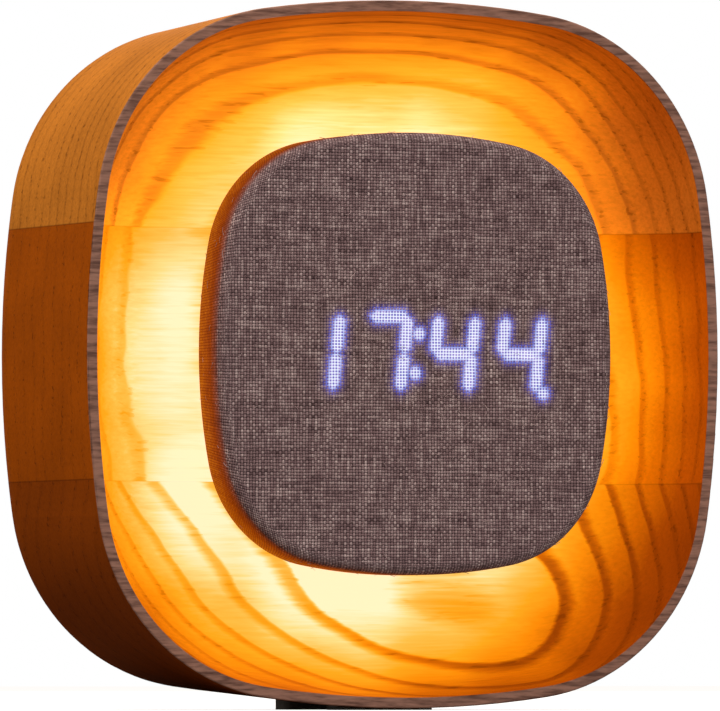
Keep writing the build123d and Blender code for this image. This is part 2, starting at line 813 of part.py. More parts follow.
with BuildPart() as rear_cover:
    add(slab(body_outline(cover_inset), cover_inner_y, cover_outer_y))
    add(block(box_width, box_height, battery_floor_y - battery_wall, cover_inner_y,
              z=battery_drop))
    add(block(battery_length, battery_height, battery_floor_y, door_inner_y, z=battery_drop),
        mode=Mode.SUBTRACT)
    add(block(door_width + 2 * door_clearance, door_height + 2 * door_clearance, door_inner_y,
              cover_outer_y, z=battery_drop), mode=Mode.SUBTRACT)
    add(rods(control_points, standoff_radius, control_rear_y, cover_inner_y))
    add(rods(control_points, board_screw_radius, control_rear_y,
             cover_inner_y - control_boss_root), mode=Mode.SUBTRACT)
    add(sunk_holes(cover_screw_points, cover_screw_radius, cover_screw_head_radius,
                   cover_outer_y, cover_thickness), mode=Mode.SUBTRACT)
    add(rods(list(button_points.values()), button_radius + button_clearance, cover_inner_y,
             cover_outer_y), mode=Mode.SUBTRACT)
    add(rods(sound_points, sound_hole_radius, cover_inner_y, cover_outer_y), mode=Mode.SUBTRACT)
    add(block(knob_width + knob_travel + 2 * knob_clearance, knob_height + 2 * knob_clearance,
              cover_inner_y, cover_outer_y, switch_offset, lower_row_rise), mode=Mode.SUBTRACT)
    add(block(switch_width + finger_margin, switch_height + finger_margin,
              cover_outer_y - finger_recess, cover_outer_y, switch_offset, lower_row_rise,
              finger_corner), mode=Mode.SUBTRACT)
    add(block(usb_width + 2 * usb_clearance, usb_height + 2 * usb_clearance, cover_inner_y,
              cover_outer_y, usb_offset, lower_row_rise, usb_height / 2), mode=Mode.SUBTRACT)
    add(block(usb_width + 2 * usb_recess_margin, usb_height + 2 * usb_recess_margin,
              cover_outer_y - usb_recess_depth, cover_outer_y, usb_offset, lower_row_rise,
              usb_height / 2 + usb_recess_margin - full_round_trim), mode=Mode.SUBTRACT)
    add(icons(), mode=Mode.SUBTRACT)
save(rear_cover, "rear_cover")

cover_screws = sunk_screws(
    cover_screw_points, cover_screw_radius, cover_screw_head_radius, cover_outer_y,
    cover_screw_length,
)
save(cover_screws, "cover_screws")

with BuildPart() as threaded_inserts:
    add(rods(cover_screw_points, insert_radius, cover_inner_y - insert_length, cover_inner_y))
    add(rods(cover_screw_points, cover_screw_radius, cover_inner_y - insert_length,
             cover_inner_y), mode=Mode.SUBTRACT)
save(threaded_inserts, "threaded_inserts")

# ---- Battery door and cells ------------------------------------------------------------------
tab_x = battery_length / 2 - door_tab_width
with BuildPart() as battery_door:
    add(block(door_width, door_height, door_inner_y, cover_outer_y, z=battery_drop,
              corner=door_corner))
    for x in (tab_x, -tab_x):
        for side in (1, -1):
            rise = side * (battery_height / 2 - door_clearance - door_tab_depth / 2)
            add(block(door_tab_width, door_tab_depth, cover_inner_y, door_inner_y, x,
                      battery_drop + rise))
    with BuildSketch(facing(cover_outer_y)):
        with Locations((0, battery_drop + door_height / 2 - door_groove_inset)):
            with GridLocations(0, door_groove_pitch, 1, door_groove_count):
                SlotOverall(door_groove_length, door_groove_width)
    extrude(amount=door_groove_depth, mode=Mode.SUBTRACT)
save(battery_door, "battery_door")

cell_rows = [battery_drop + (k - (cell_count - 1) / 2) * cell_pitch for k in range(cell_count)]
cell_ways = [1 if k % 2 == 0 else -1 for k in range(cell_count)]


def along(x, z, way):
    """A plane across the clock at x, facing +X (way 1) or -X (way -1)."""
    return Plane(origin=(x, cell_axis_y, centre_z + z), x_dir=(0, 0, 1), z_dir=(way, 0, 0))


contact_x = battery_length / 2 - contact_thickness
with BuildPart() as battery_cells:
    for z, way in zip(cell_rows, cell_ways):
        nub_x = way * (contact_x - cell_nub_length)
        with BuildSketch(along(nub_x, z, -way)):
            Circle(cell_radius)
        extrude(amount=cell_length)
        with BuildSketch(along(nub_x, z, way)):
            Circle(cell_nub_radius)
        extrude(amount=cell_nub_length)
save(battery_cells, "battery_cells")

with BuildPart() as battery_contacts:
    for z in cell_rows:
        for way in (1, -1):
            with BuildSketch(along(way * contact_x, z, way)):
                Rectangle(contact_size, contact_size)
            extrude(amount=contact_thickness)
save(battery_contacts, "battery_contacts")

spring_length = spring_space - 2 * spring_wire_radius
with BuildPart() as battery_springs:
    for z, way in zip(cell_rows, cell_ways):
        start = Vector(-way * (contact_x - spring_wire_radius), cell_axis_y, centre_z + z)
        with BuildLine() as coil:
            Helix(spring_length / spring_coils, spring_length, spring_big_radius,
                  center=start, direction=(way, 0, 0), cone_angle=spring_cone_angle)
        with BuildSketch(Plane(origin=coil.line @ 0, z_dir=coil.line % 0)):
            Circle(spring_wire_radius)
        sweep(path=coil.line, is_frenet=True)
save(battery_springs, "battery_springs")
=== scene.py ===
from math import atan2, cos, hypot, pi, radians, sin, sqrt

import bmesh
import bpy
import numpy as np
from bpy.props import FloatProperty, FloatVectorProperty, IntProperty, PointerProperty
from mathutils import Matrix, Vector
from mathutils.bvhtree import BVHTree


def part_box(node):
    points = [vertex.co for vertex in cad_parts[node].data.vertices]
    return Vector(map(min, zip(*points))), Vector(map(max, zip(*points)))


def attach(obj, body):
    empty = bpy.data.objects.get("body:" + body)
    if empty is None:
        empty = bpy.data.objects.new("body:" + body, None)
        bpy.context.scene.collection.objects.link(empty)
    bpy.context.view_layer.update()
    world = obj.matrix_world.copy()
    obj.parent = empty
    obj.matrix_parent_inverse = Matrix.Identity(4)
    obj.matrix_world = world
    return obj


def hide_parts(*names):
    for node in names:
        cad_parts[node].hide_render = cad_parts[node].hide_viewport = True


bl_info = {
    "name": "Wooden Bowl Alarm Clock",
    "version": (1, 0, 0),
    "blender": (4, 5, 0),
    "location": "3D Viewport > Sidebar > Clock",
    "description": "A glued wooden bowl clock with a lit linen drum, over its packed CAD frame",
    "category": "Object",
}

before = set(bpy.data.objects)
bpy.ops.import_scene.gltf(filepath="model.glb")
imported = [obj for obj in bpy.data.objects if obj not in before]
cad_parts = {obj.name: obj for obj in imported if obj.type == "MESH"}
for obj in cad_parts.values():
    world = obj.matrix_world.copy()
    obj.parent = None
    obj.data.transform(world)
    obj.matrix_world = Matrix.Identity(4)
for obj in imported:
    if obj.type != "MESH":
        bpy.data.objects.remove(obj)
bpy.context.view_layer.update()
MM = 0.001
BODY = "clock"

drum_low, drum_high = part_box("linen_cover")
boards_low, boards_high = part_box("middle_board")
RIM_Y = boards_low.y
CENTRE_Z = (drum_low.z + drum_high.z) / 2
DISH_FLOOR_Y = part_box("pod_stem")[1].y - 5 * MM
GLUE_LINE_RISE = boards_high.z - CENTRE_Z
BOWL_HALF = boards_high.x - 2 * MM


def linear(hex_colour, alpha=1.0):
    """An sRGB hex colour as linear RGBA."""
    parts = [int(hex_colour[k : k + 2], 16) / 255 for k in (1, 3, 5)]
    return [c / 12.92 if c < 0.04045 else ((c + 0.055) / 1.055) ** 2.4 for c in parts] + [alpha]


# ---- Sizes and colours that a user would change ------------------------------------------------


def colour_property(name, description, hex_colour):
    return FloatVectorProperty(
        name=name, description=description, subtype="COLOR", size=4, min=0, max=1,
        default=linear(hex_colour),
    )


def length_property(name, description, default):
    return FloatProperty(
        name=name, description=description, unit="LENGTH", subtype="DISTANCE", default=default,
        min=0,
    )


class ClockWoodSettings(bpy.types.PropertyGroup):
    upper: colour_property("Upper board", "Spring growth of the upper board", "#d2802a")
    middle: colour_property("Middle board", "Spring growth of the middle board", "#b25504")
    lower: colour_property("Lower board", "Spring growth of the lower board", "#a04a06")
    late: colour_property("Late wood", "Dark summer line of each growth ring", "#4e1e00")
    rim: colour_property("Rim", "Sawn and sanded edge of the bowl", "#98705f")
    rim_pore: colour_property("Rim pores", "Cut vessels across the sanded edge", "#5e4238")
    pore_width: length_property("Pore width", "Width of an open vessel", 0.24 * MM)


class ClockLinenSettings(bpy.types.PropertyGroup):
    warp_pitch: length_property("Warp pitch", "Spacing of the upright threads", 0.60 * MM)
    weft_pitch: length_property("Weft pitch", "Spacing of the level threads", 0.56 * MM)
    thickness: length_property("Cloth thickness", "Thickness of the linen", 0.4 * MM)
    dark: colour_property("Dark yarn", "Plum coloured yarn", "#4a3738")
    middle: colour_property("Middle yarn", "Blended yarn", "#8a7070")
    light: colour_property("Light yarn", "Undyed flax yarn", "#c6aeaa")
    fibres: IntProperty(name="Stray fibres", description="Loose flax ends on the cloth", default=500)
    fibre_length: length_property("Fibre length", "Length of a loose flax end", 1.1 * MM)
    fibre_width: length_property("Fibre width", "Width of a loose flax end", 0.04 * MM)


class ClockLightSettings(bpy.types.PropertyGroup):
    # Bowl glow scales the glow painted into the bowl and onto the drum's side; digit glow and digit spread
    # set the digits' glow painted on the linen.
    bowl_glow: FloatProperty(
        name="Bowl glow", description="Strength of the warm light in the bowl", default=1.0, min=0
    )
    digit_glow: FloatProperty(
        name="Digit glow", description="Strength of the digits behind the linen", default=1.0, min=0
    )
    warm: colour_property("Warm LED", "Colour of the back light", "#ffb648")
    spread: length_property("Digit spread", "How far the linen scatters a digit", 1.25 * MM)


class ClockStageSettings(bpy.types.PropertyGroup):
    azimuth: FloatProperty(
        name="Azimuth", description="Camera turn round the clock", subtype="ANGLE",
        default=radians(-25),
    )
    elevation: FloatProperty(
        name="Elevation", description="Camera height angle", subtype="ANGLE",
        default=radians(-1.5),
    )
    distance: length_property("Distance", "Camera to the rim's plane", 2.24)
    lens: FloatProperty(name="Lens", description="Focal length in mm", default=601.0)
    aside: FloatProperty(
        name="Aside", description="Camera step to its left", unit="LENGTH", default=8.7 * MM
    )
    below: FloatProperty(
        name="Below", description="Camera step down", unit="LENGTH", default=0.25 * MM
    )


# ---- Node helpers ------------------------------------------------------------------------------


def add(tree, kind, *values, out=0, stops=(), **named):
    """Adds a node with its settings and links, and gives one of its outputs.

    Values fill its inputs in order. A name with a capital fills an input, with _ for a space, and
    any other name is a setting of the node. A socket is linked and anything else is set.
    """
    new = tree.nodes.new(kind)
    for key, value in named.items():
        if not key[0].isupper():
            setattr(new, key, value)
    for place, (position, colour) in enumerate(stops):
        elements = new.color_ramp.elements
        stop = elements[place] if place < 2 else elements.new(position)
        stop.position, stop.color = position, colour
    filled = list(zip([socket for socket in new.inputs if socket.enabled], values))
    filled += [(new.inputs[key.replace("_", " ")], value)
               for key, value in named.items() if key[0].isupper()]
    for socket, value in filled:
        if isinstance(value, bpy.types.NodeSocket):
            tree.links.new(value, socket)
        else:
            socket.default_value = value
    outputs = [socket for socket in new.outputs if socket.enabled]
    return outputs[out] if outputs else new


SOFT = {"interpolation_type": "SMOOTHSTEP"}  # a soft step between two values


def new_material(name):
    """An empty node material, as (material, tree)."""
    material = bpy.data.materials.new(name)
    material.use_nodes = True
    material.node_tree.nodes.clear()
    return material, material.node_tree


def place_in_mm(tree):
    """The place on the clock in millimetres from its centre."""
    place = add(tree, "ShaderNodeTexCoord", out=3)
    return add(tree, "ShaderNodeMapping", place, Location=(0, 0, -CENTRE_Z / MM),
               Scale=(1 / MM, 1 / MM, 1 / MM))


def shaded(colour, factor):
    """A linear colour made darker or lighter."""
    return [min(1.0, c * factor) for c in colour[:3]] + [1.0]


def dress(nodes, material):
    """Gives CAD nodes a material."""
    for name in nodes:
        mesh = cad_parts[name].data
        mesh.materials.clear()
        mesh.materials.append(material)


# ---- Materials ---------------------------------------------------------------------------------


def oiled_board(name, early, late, ring_spacing, layers, start, wander, heart, settings, lights):
    """Oiled oak board: growth layers lie nearly parallel to the front, the fibres run along X.

    The layers draw contour loops in the bowl and upright lines on the sides, and open pores
    make short dark dashes along the fibre. Inside the bowl its emission is a painted warm LED glow.
    """
    material, tree = new_material(name)
    place = place_in_mm(tree)
    x, y, z = add(tree, "ShaderNodeSeparateXYZ", place).node.outputs

    # Fibre streaks about 0.6 mm apart, long along X.
    along_fibre = add(tree, "ShaderNodeMapping", place, Scale=(0.07, 1.6, 1.6))
    fibre = add(tree, "ShaderNodeTexNoise", along_fibre, Scale=1.0, Detail=3.0, Roughness=0.6)

    # Growth layers, which lean, twist, bow and wander across the board. Each has its own strength.
    drift = add(tree, "ShaderNodeMapping", place, Location=(start, 0, 0), Scale=(0.4, 1, 1))
    wave = add(tree, "ShaderNodeTexNoise", drift, Scale=0.035, Detail=2.0, Roughness=0.45)
    ripple = add(tree, "ShaderNodeTexNoise", drift, Scale=0.12, Detail=1.0)
    lean_x, lean_z, twist_rate, bow_rate = layers
    slope = (lean_x, 1, lean_z)
    depth = add(tree, "ShaderNodeVectorMath", place, slope, operation="DOT_PRODUCT")
    twist = add(tree, "ShaderNodeMath", x, z, operation="MULTIPLY")
    depth = add(tree, "ShaderNodeMath", twist, twist_rate, depth, operation="MULTIPLY_ADD")
    bow = add(tree, "ShaderNodeMath", x, x, operation="MULTIPLY")
    depth = add(tree, "ShaderNodeMath", bow, bow_rate, depth, operation="MULTIPLY_ADD")
    depth = add(tree, "ShaderNodeMath", depth, start, operation="ADD")
    depth = add(tree, "ShaderNodeMath", wave, wander, depth, operation="MULTIPLY_ADD")
    depth = add(tree, "ShaderNodeMath", ripple, 1.2, depth, operation="MULTIPLY_ADD")
    depth = add(tree, "ShaderNodeMath", fibre, 0.6, depth, operation="MULTIPLY_ADD")
    rings = add(tree, "ShaderNodeMath", depth, ring_spacing, operation="DIVIDE")
    phase = add(tree, "ShaderNodeMath", rings, operation="FRACT")
    number = add(tree, "ShaderNodeMath", rings, operation="FLOOR")
    vigour = add(tree, "ShaderNodeTexWhiteNoise", number, noise_dimensions="1D")
    rise = add(tree, "ShaderNodeMapRange", phase, 0.58, 0.87, **SOFT)
    fall = add(tree, "ShaderNodeMapRange", phase, 0.90, 1.0, 1.0, 0.0, **SOFT)
    line = add(tree, "ShaderNodeMath", rise, fall, operation="MULTIPLY")
    vigour = add(tree, "ShaderNodeMath", vigour, 0.6, 0.45, operation="MULTIPLY_ADD")
    line = add(tree, "ShaderNodeMath", line, vigour, operation="MULTIPLY")
    # The lines are stronger towards the heart of the tree, which lay at one end of the board.
    half = BOWL_HALF / MM
    to_heart = add(tree, "ShaderNodeMapRange", x, -half, 0.8 * half, *heart, **SOFT)
    line = add(tree, "ShaderNodeMath", line, to_heart, operation="MULTIPLY")

    # Open pores, long along X too, which crowd at the growth lines.
    pore_scale = MM / settings.pore_width / 3
    along_pore = add(tree, "ShaderNodeMapping", place, Scale=(0.16, pore_scale, pore_scale))
    pores = add(tree, "ShaderNodeTexNoise", along_pore, Scale=1.0, Detail=1.0)
    pores = add(tree, "ShaderNodeMapRange", pores, 0.58, 0.68, **SOFT)
    crowd = add(tree, "ShaderNodeMath", rise, 0.75, 0.25, operation="MULTIPLY_ADD")
    pores = add(tree, "ShaderNodeMath", pores, crowd, operation="MULTIPLY")
    stretched = add(tree, "ShaderNodeMapping", place, Scale=(0.5, 1, 1))
    cloud = add(tree, "ShaderNodeTexNoise", stretched, Scale=0.06, Detail=1.0)
    figure = add(tree, "ShaderNodeMath", fibre, 0.5, -0.32, operation="MULTIPLY_ADD")
    figure = add(tree, "ShaderNodeMath", cloud, 0.45, figure, operation="MULTIPLY_ADD")
    grain = add(tree, "ShaderNodeMath", line, 0.80, figure, operation="MULTIPLY_ADD")
    figure = add(tree, "ShaderNodeMath", line, 0.20, figure, operation="MULTIPLY_ADD")
    middle = [(a + b) / 2 for a, b in zip(early, late)]
    colour = add(tree, "ShaderNodeValToRGB", figure, stops=[(0.0, early), (0.45, middle), (1.0, late)])
    in_pore = add(tree, "ShaderNodeMath", pores, 0.5, operation="MULTIPLY")
    colour = add(tree, "ShaderNodeMix", in_pore, colour, late, data_type="RGBA")

    # The glue line shows as a hair of darker wood where two boards meet.
    height = add(tree, "ShaderNodeMath", z, operation="ABSOLUTE")
    apart = add(tree, "ShaderNodeMath", height, GLUE_LINE_RISE / MM, operation="SUBTRACT")
    apart = add(tree, "ShaderNodeMath", apart, operation="ABSOLUTE")
    seam = add(tree, "ShaderNodeMapRange", apart, 0.05, 0.22, 0.45, 0.0, **SOFT)
    colour = add(tree, "ShaderNodeMix", seam, colour, late, data_type="RGBA")

    # The sanded rim is paler and greyer, with the cut vessels as short dashes across it.
    on_rim = add(tree, "ShaderNodeMapRange", y, RIM_Y / MM + 0.12, RIM_Y / MM + 0.3, 1.0, 0.0, **SOFT)
    along_dash = add(tree, "ShaderNodeMapping", place, Scale=(0.12, 0, 1.1))
    dash = add(tree, "ShaderNodeTexNoise", along_dash, Scale=1.0, Detail=3.0, Roughness=0.65)
    dash = add(tree, "ShaderNodeMapRange", dash, 0.36, 0.70, 0.0, 1.0, **SOFT)
    rim = add(tree, "ShaderNodeMix", dash, settings.rim, settings.rim_pore, data_type="RGBA")
    colour = add(tree, "ShaderNodeMix", on_rim, colour, rim, data_type="RGBA")

    relief = add(tree, "ShaderNodeMath", fibre, 0.4, operation="MULTIPLY")
    relief = add(tree, "ShaderNodeMath", relief, pores, operation="SUBTRACT")
    # Its emission is the painted glow of the warm LEDs inside the bowl.
    shader = add(
        tree, "ShaderNodeBsdfPrincipled", Base_Color=colour, Roughness=0.55,
        Specular_IOR_Level=0.015,
        Normal=add(tree, "ShaderNodeBump", Strength=0.5, Distance=0.04 * MM, Height=relief),
        Emission_Color=painted_bowl_glow(tree, place, grain, line, pores, seam, lights),
        Emission_Strength=1.0,
    )
    add(tree, "ShaderNodeOutputMaterial", shader)
    return material


BOWL_POWER = 3.05  # a superellipse of this power lies close to the bowl's outline
# Painted brighter and darker patches in the bowl's painted glow.
PAINTED_GLOW_SPOTS = (  # x and z in mm from the clock's centre, reach in mm, and gain
    ((-42, 40), 34, -0.20),
    ((-4, -52), 28, 0.19),
    ((8, 52), 26, 0.03),
    ((54, 34), 40, -0.20),
    ((54, -40), 38, -0.17),
    ((-46, -40), 26, -0.05),
)


def painted_bowl_glow(tree, place, grain, line, pores, seam, lights):
    """Painted glow: an emission colour standing in for the warm LEDs' light on the bowl, brightest near
    the drum.
    """
    x, y, z = add(tree, "ShaderNodeSeparateXYZ", place).node.outputs
    half = BOWL_HALF / MM
    powers = []
    for side in (x, z):
        reach = add(tree, "ShaderNodeMath", side, half, operation="DIVIDE")
        reach = add(tree, "ShaderNodeMath", reach, operation="ABSOLUTE")
        powers.append(add(tree, "ShaderNodeMath", reach, BOWL_POWER, operation="POWER"))
    reach = add(tree, "ShaderNodeMath", *powers, operation="ADD")
    reach = add(tree, "ShaderNodeMath", reach, 1 / BOWL_POWER, operation="POWER")
    near = add(tree, "ShaderNodeMapRange", reach, 0.58, 1.06, 0.46, 0.0, **SOFT)
    deep = add(tree, "ShaderNodeMapRange", y, RIM_Y / MM - 4, DISH_FLOOR_Y / MM + 2, 0.0, 0.36, **SOFT)
    light = add(tree, "ShaderNodeMath", near, deep, operation="ADD")
    flat = add(tree, "ShaderNodeMapping", place, Scale=(1, 0, 1))
    cloud = add(tree, "ShaderNodeTexNoise", flat, Scale=0.05, Detail=1.0)
    light = add(tree, "ShaderNodeMath", cloud, 0.30, light, operation="MULTIPLY_ADD")
    fade = add(tree, "ShaderNodeVectorMath", place, (-0.0003, 0, -0.0008), operation="DOT_PRODUCT")
    light = add(tree, "ShaderNodeMath", light, fade, operation="ADD")
    light = add(tree, "ShaderNodeMath", light, -0.03, operation="ADD")
    for (spot_x, spot_z), spread, gain in PAINTED_GLOW_SPOTS:
        away = add(tree, "ShaderNodeVectorMath", flat, (spot_x, 0, spot_z), operation="DISTANCE")
        spot = add(tree, "ShaderNodeMapRange", away, 0.0, spread, gain, 0.0, **SOFT)
        light = add(tree, "ShaderNodeMath", light, spot, operation="ADD")
    shade = add(tree, "ShaderNodeMath", grain, -0.34, 1.1, operation="MULTIPLY_ADD")
    shade = add(tree, "ShaderNodeMath", line, -0.16, shade, operation="MULTIPLY_ADD")
    shade = add(tree, "ShaderNodeMath", pores, -0.07, shade, operation="MULTIPLY_ADD")
    shade = add(tree, "ShaderNodeMath", seam, -0.11, shade, operation="MULTIPLY_ADD")
    light = add(tree, "ShaderNodeMath", light, shade, operation="MULTIPLY")
    colour = add(tree, "ShaderNodeValToRGB", light, stops=[
        (0.0, linear("#200a00")), (0.22, linear("#6e3000")), (0.40, linear("#b45c00")),
        (0.55, linear("#e28606")), (0.68, linear("#e8a21c")), (0.80, linear("#e8bc4c")),
        (0.90, linear("#f2dc88")), (1.0, linear("#fff4c4")),
    ])
    # The painted glow covers only the inside of the bowl: behind the rim, before its floor, facing the
    # middle.
    facing = add(tree, "ShaderNodeNewGeometry", out=1)
    outward = add(tree, "ShaderNodeVectorMath", facing, flat, operation="DOT_PRODUCT")
    lit = add(tree, "ShaderNodeMapRange", outward, 0.5, 4.0, lights.bowl_glow, 0.0, **SOFT)
    behind = add(tree, "ShaderNodeMapRange", y, RIM_Y / MM + 0.15, RIM_Y / MM + 0.5, **SOFT)
    before = add(tree, "ShaderNodeMapRange", y, DISH_FLOOR_Y / MM + 0.5, DISH_FLOOR_Y / MM + 1.5,
                 1.0, 0.0, **SOFT)
    lit = add(tree, "ShaderNodeMath", lit, behind, operation="MULTIPLY")
    lit = add(tree, "ShaderNodeMath", lit, before, operation="MULTIPLY")
    return add(tree, "ShaderNodeMix", lit, (0, 0, 0, 1), colour, data_type="RGBA")


def woven_linen(settings):
    """Plain woven heather linen: plum and undyed yarns with slubs, with painted glow of the digits and
    back light.
    """
    material, tree = new_material("Linen, plain woven heather")
    cloth = add(tree, "ShaderNodeUVMap", uv_map="cloth")
    wobble = add(tree, "ShaderNodeTexNoise", cloth, Scale=140.0, Detail=1.0)
    strands, crests, numbers, tones = [], [], [], []
    for side, pitch, sway in zip(
        add(tree, "ShaderNodeSeparateXYZ", cloth).node.outputs,
        (settings.warp_pitch, settings.weft_pitch), (0.30 * MM, -0.26 * MM),
    ):
        swayed = add(tree, "ShaderNodeMath", wobble, sway, side, operation="MULTIPLY_ADD")
        strands.append(add(tree, "ShaderNodeMath", swayed, pitch, operation="DIVIDE"))
        numbers.append(add(tree, "ShaderNodeMath", strands[-1], operation="FLOOR"))
        # 1 at the middle of a thread, 0 at its edges.
        across = add(tree, "ShaderNodeMath", strands[-1], pi, operation="MULTIPLY")
        across = add(tree, "ShaderNodeMath", across, operation="SINE")
        crests.append(add(tree, "ShaderNodeMath", across, operation="ABSOLUTE"))
    for number, along, seed, gain in ((numbers[0], strands[1], 3.0, 0.02),
                                      (numbers[1], strands[0], 11.0, -0.10)):
        # The heather tone of one thread, which drifts along it in slubs.
        strand = add(tree, "ShaderNodeCombineXYZ", number, along, seed)
        slow = add(tree, "ShaderNodeMapping", strand, Scale=(7.31, 0.10, 1))
        quick = add(tree, "ShaderNodeMapping", strand, Scale=(3.7, 0.6, 1))
        tone = add(tree, "ShaderNodeTexNoise", slow, Scale=1.0, Detail=1.0)
        tone = add(tree, "ShaderNodeMath", tone, 0.75, gain, operation="MULTIPLY_ADD")
        short = add(tree, "ShaderNodeTexNoise", quick, Scale=1.0, Detail=1.0)
        tones.append(add(tree, "ShaderNodeMath", short, 0.35, tone, operation="MULTIPLY_ADD"))
    parity = add(tree, "ShaderNodeMath", *numbers, operation="ADD")
    over = add(tree, "ShaderNodeMath", parity, 2.0, operation="FLOORED_MODULO")
    blend = add(tree, "ShaderNodeMath", over, 0.5, 0.25, operation="MULTIPLY_ADD")
    tone = add(tree, "ShaderNodeMix", blend, tones[1], tones[0], data_type="FLOAT")
    heights = []
    for crest, other in (crests, crests[::-1]):
        arch = add(tree, "ShaderNodeMath", other, 0.6, 0.4, operation="MULTIPLY_ADD")
        heights.append(add(tree, "ShaderNodeMath", crest, arch, operation="MULTIPLY"))
    height = add(tree, "ShaderNodeMix", over, heights[1], heights[0], data_type="FLOAT")
    yarn = add(tree, "ShaderNodeValToRGB", tone, stops=[
        (0.28, settings.dark), (0.5, settings.middle), (0.72, settings.light)])
    hole = add(tree, "ShaderNodeMapRange", height, 0.1, 0.66, 0.88, 0.0, **SOFT)
    colour = add(tree, "ShaderNodeMix", hole, yarn, linear("#1c1214"), data_type="RGBA")

    # Painted glow: the digits' light through the gaps between the threads is painted as emission from the
    # digit_glow attribute.
    glow = add(tree, "ShaderNodeAttribute", attribute_name="digit_glow", out=2)
    gaps = add(tree, "ShaderNodeMath", *crests, operation="MULTIPLY")
    gaps = add(tree, "ShaderNodeMapRange", gaps, 0.1, 0.7, 1.0, 0.30, **SOFT)
    through = add(tree, "ShaderNodeMath", glow, gaps, operation="MULTIPLY")
    digits = add(tree, "ShaderNodeValToRGB", through, stops=[
        (0.0, linear("#000000")), (0.10, linear("#141448")), (0.24, linear("#343ca0")),
        (0.42, linear("#6478d4")), (0.66, linear("#a9bdf2")), (0.95, linear("#f0f6ff"))])

    # Painted light: at the drum's side the cloth is painted near black and given an amber emission that
    # grows towards the back, in place of the back light shining through it.
    warm = add(tree, "ShaderNodeAttribute", attribute_name="warm_glow", out=2)
    painted_backlight_mask = add(tree, "ShaderNodeMath", warm, 1.6, operation="MULTIPLY", use_clamp=True)
    colour = add(tree, "ShaderNodeMix", painted_backlight_mask, colour, linear("#1a0800"), data_type="RGBA")
    thread = add(tree, "ShaderNodeMath", tone, 0.9, 0.45, operation="MULTIPLY_ADD")
    thread = add(tree, "ShaderNodeMath", hole, -0.5, thread, operation="MULTIPLY_ADD")
    warm = add(tree, "ShaderNodeMath", warm, thread, operation="MULTIPLY")
    edge = add(tree, "ShaderNodeValToRGB", warm, stops=[
        (0.0, linear("#000000")), (0.3, linear("#662200")), (0.6, linear("#9a3e00")),
        (1.0, linear("#c86a08"))])
    emission = add(tree, "ShaderNodeMix", 1.0, digits, edge, data_type="RGBA", blend_type="ADD")
    shader = add(
        tree, "ShaderNodeBsdfPrincipled", Base_Color=colour, Roughness=0.92,
        Specular_IOR_Level=0.04, Sheen_Weight=0.02, Sheen_Roughness=0.5,
        Normal=add(tree, "ShaderNodeBump", Strength=0.8, Distance=0.16 * MM, Height=height),
        Emission_Color=emission, Emission_Strength=1.0,
    )
    add(tree, "ShaderNodeOutputMaterial", shader)
    return material


def flax_fibre(settings):
    """Loose flax: pale, dry single fibres that stand off the cloth as a faint fuzz."""
    material, tree = new_material("Flax fibre, undyed")
    tint = add(tree, "ShaderNodeTexNoise", place_in_mm(tree), Scale=0.8, Detail=1.0)
    colour = add(tree, "ShaderNodeMix", tint, settings.middle, settings.light, data_type="RGBA")
    shader = add(tree, "ShaderNodeBsdfPrincipled", Base_Color=colour, Roughness=0.8)
    add(tree, "ShaderNodeOutputMaterial", shader)
    return material


def moulded_plastic(name, hex_colour, roughness=0.5, grain=0.12):
    """Injection moulded ABS: even colour with the fine spark texture of its mould."""
    material, tree = new_material(name)
    place = place_in_mm(tree)
    spark = add(tree, "ShaderNodeTexNoise", place, Scale=3.2, Detail=2.0, Roughness=0.6)
    cloud = add(tree, "ShaderNodeTexNoise", place, Scale=0.12, Detail=1.0)
    colour = linear(hex_colour)
    shader = add(
        tree, "ShaderNodeBsdfPrincipled", IOR=1.53,
        Base_Color=add(tree, "ShaderNodeMix", cloud, colour, shaded(colour, 0.82), data_type="RGBA"),
        Roughness=add(tree, "ShaderNodeMath", spark, 0.16, roughness - 0.08, operation="MULTIPLY_ADD"),
        Normal=add(tree, "ShaderNodeBump", Strength=0.35, Distance=grain * MM, Height=spark),
    )
    add(tree, "ShaderNodeOutputMaterial", shader)
    return material


def silicone(name, hex_colour, roughness=0.6):
    """Cast silicone: soft, slightly dusty, with a faint matt bloom."""
    material, tree = new_material(name)
    bloom = add(tree, "ShaderNodeTexNoise", place_in_mm(tree), Scale=0.8, Detail=3.0, Roughness=0.6)
    colour = linear(hex_colour)
    shader = add(
        tree, "ShaderNodeBsdfPrincipled", IOR=1.43,
        Base_Color=add(tree, "ShaderNodeMix", bloom, colour, shaded(colour, 1.5), data_type="RGBA"),
        Roughness=add(tree, "ShaderNodeMath", bloom, 0.2, roughness - 0.1, operation="MULTIPLY_ADD"),
        Normal=add(tree, "ShaderNodeBump", Strength=0.3, Distance=0.05 * MM, Height=bloom),
    )
    add(tree, "ShaderNodeOutputMaterial", shader)
    return material


def plated_metal(name, hex_colour, roughness=0.28):
    """Nickel plated or turned metal: fine tool marks and a little tarnish."""
    material, tree = new_material(name)
    place = place_in_mm(tree)
    turned = add(tree, "ShaderNodeMapping", place, Scale=(0.4, 9.0, 0.4))
    marks = add(tree, "ShaderNodeTexNoise", turned, Scale=1.0, Detail=2.0)
    tarnish = add(tree, "ShaderNodeTexNoise", place, Scale=0.7, Detail=2.0)
    colour = linear(hex_colour)
    shader = add(
        tree, "ShaderNodeBsdfPrincipled", Metallic=1.0,
        Base_Color=add(tree, "ShaderNodeMix", tarnish, colour, shaded(colour, 0.7), data_type="RGBA"),
        Roughness=add(tree, "ShaderNodeMath", marks, 0.2, roughness - 0.1, operation="MULTIPLY_ADD"),
        Normal=add(tree, "ShaderNodeBump", Strength=0.25, Distance=0.02 * MM, Height=marks),
    )
    add(tree, "ShaderNodeOutputMaterial", shader)
    return material


